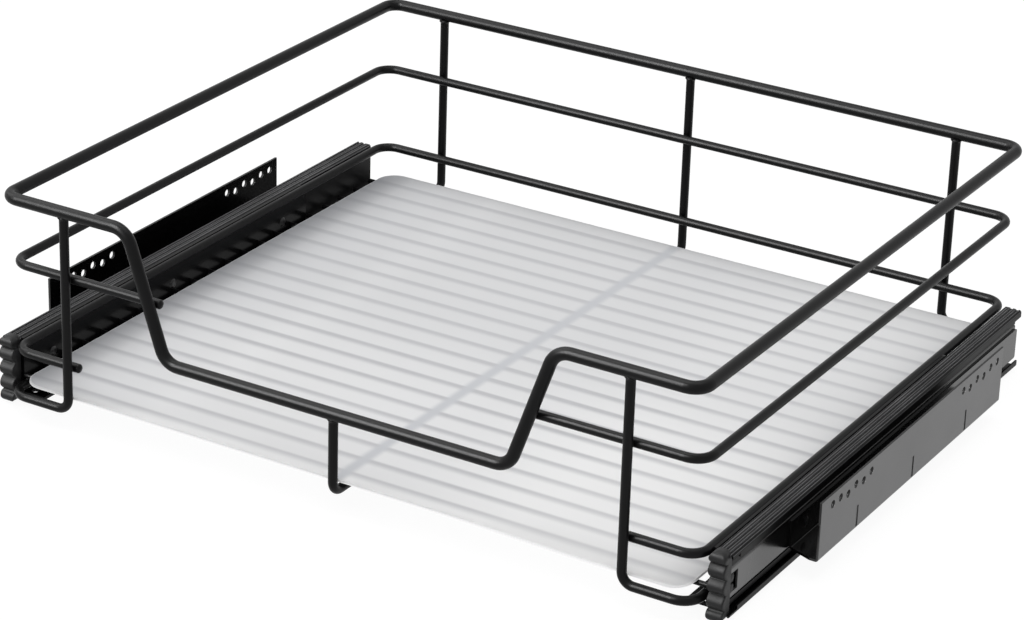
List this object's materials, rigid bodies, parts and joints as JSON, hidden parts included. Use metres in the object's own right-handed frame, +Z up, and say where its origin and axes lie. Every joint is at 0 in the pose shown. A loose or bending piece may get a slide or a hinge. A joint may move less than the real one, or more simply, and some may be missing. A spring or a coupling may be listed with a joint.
{
  "type": "telescopic kitchen drawer",
  "caption": "Pull-out wire basket drawer on full-extension ball-bearing slides, with a dipped front and side wall brackets.",
  "frame": {"origin": "middle of the plan between the rim's outer faces, level with the underside of the end caps", "axes": "+X to the drawer's right seen from the front, +Y from front to back, +Z up"},
  "size_m": [0.564, 0.45, 0.152],
  "materials": {
    "rod_steel": "satin black powder coat with a fine orange peel",
    "slide_steel": "satin black electrophoretic paint",
    "carrier_steel": "gloss black paint",
    "bracket_steel": "satin black paint that mirrors pale grey at a low angle",
    "rivet_steel": "black paint over steel",
    "cap_plastic": "moulded black plastic, fine grain",
    "mat_plastic": "milky translucent polypropylene sheet",
    "plated_steel": "zinc plated",
    "ball_steel": "polished bearing steel"
  },
  "bodies": {
    "cabinet_side": {"left_bracket": "bracket_steel", "left_bracket_rivets": "rivet_steel", "left_cabinet_member": "bracket_steel", "right_bracket": "bracket_steel", "right_bracket_rivets": "rivet_steel", "right_cabinet_member": "bracket_steel"},
    "drawer": {"rim_rod": "rod_steel", "upper_ring_rod": "rod_steel", "lower_ring_rod": "rod_steel", "left_frame_rod": "rod_steel", "right_frame_rod": "rod_steel", "centre_frame_rod": "rod_steel", "floor_wire_01": "rod_steel", "floor_wire_02": "rod_steel", "floor_wire_03": "rod_steel", "floor_wire_04": "rod_steel", "floor_wire_05": "rod_steel", "floor_wire_06": "rod_steel", "floor_wire_07": "rod_steel", "floor_wire_08": "rod_steel", "floor_wire_09": "rod_steel", "floor_wire_10": "rod_steel", "floor_wire_11": "rod_steel", "floor_wire_12": "rod_steel", "floor_wire_13": "rod_steel", "floor_wire_14": "rod_steel", "floor_wire_15": "rod_steel", "floor_wire_16": "rod_steel", "floor_wire_17": "rod_steel", "floor_wire_18": "rod_steel", "floor_wire_19": "rod_steel", "floor_wire_20": "rod_steel", "floor_wire_21": "rod_steel", "mat": "mat_plastic", "left_carrier": "carrier_steel", "left_carrier_rivets": "rivet_steel", "left_drawer_member": "slide_steel", "left_end_cap": "cap_plastic", "right_carrier": "carrier_steel", "right_carrier_rivets": "rivet_steel", "right_drawer_member": "slide_steel", "right_end_cap": "cap_plastic"},
    "left_middle": {"left_middle_member": "slide_steel"},
    "left_outer_cage": {"left_outer_cage": "plated_steel", "left_outer_balls": "ball_steel"},
    "left_inner_cage": {"left_inner_cage": "plated_steel", "left_inner_balls": "ball_steel"},
    "right_middle": {"right_middle_member": "slide_steel"},
    "right_outer_cage": {"right_outer_cage": "plated_steel", "right_outer_balls": "ball_steel"},
    "right_inner_cage": {"right_inner_cage": "plated_steel", "right_inner_balls": "ball_steel"}
  },
  "joints": [
    {"name": "drawer_slide", "type": "slide", "parent": "cabinet_side", "child": "drawer", "axis": [0, -1, 0], "range_m": [0, 0.4]},
    {"name": "left_middle_slide", "type": "slide", "parent": "cabinet_side", "child": "left_middle", "axis": [0, -1, 0], "range_m": [0, 0.2]},
    {"name": "left_outer_cage_slide", "type": "slide", "parent": "cabinet_side", "child": "left_outer_cage", "axis": [0, -1, 0], "range_m": [0, 0.3]},
    {"name": "left_inner_cage_slide", "type": "slide", "parent": "cabinet_side", "child": "left_inner_cage", "axis": [0, -1, 0], "range_m": [0, 0.1]},
    {"name": "right_middle_slide", "type": "slide", "parent": "cabinet_side", "child": "right_middle", "axis": [0, -1, 0], "range_m": [0, 0.2]},
    {"name": "right_outer_cage_slide", "type": "slide", "parent": "cabinet_side", "child": "right_outer_cage", "axis": [0, -1, 0], "range_m": [0, 0.3]},
    {"name": "right_inner_cage_slide", "type": "slide", "parent": "cabinet_side", "child": "right_inner_cage", "axis": [0, -1, 0], "range_m": [0, 0.1]}
  ],
  "couplings": [
    {"joint": "left_middle_slide", "follows": "drawer_slide", "ratio": 0.5},
    {"joint": "left_outer_cage_slide", "follows": "drawer_slide", "ratio": 0.75},
    {"joint": "left_inner_cage_slide", "follows": "drawer_slide", "ratio": 0.25},
    {"joint": "right_middle_slide", "follows": "drawer_slide", "ratio": 0.5},
    {"joint": "right_outer_cage_slide", "follows": "drawer_slide", "ratio": 0.75},
    {"joint": "right_inner_cage_slide", "follows": "drawer_slide", "ratio": 0.25}
  ]
}
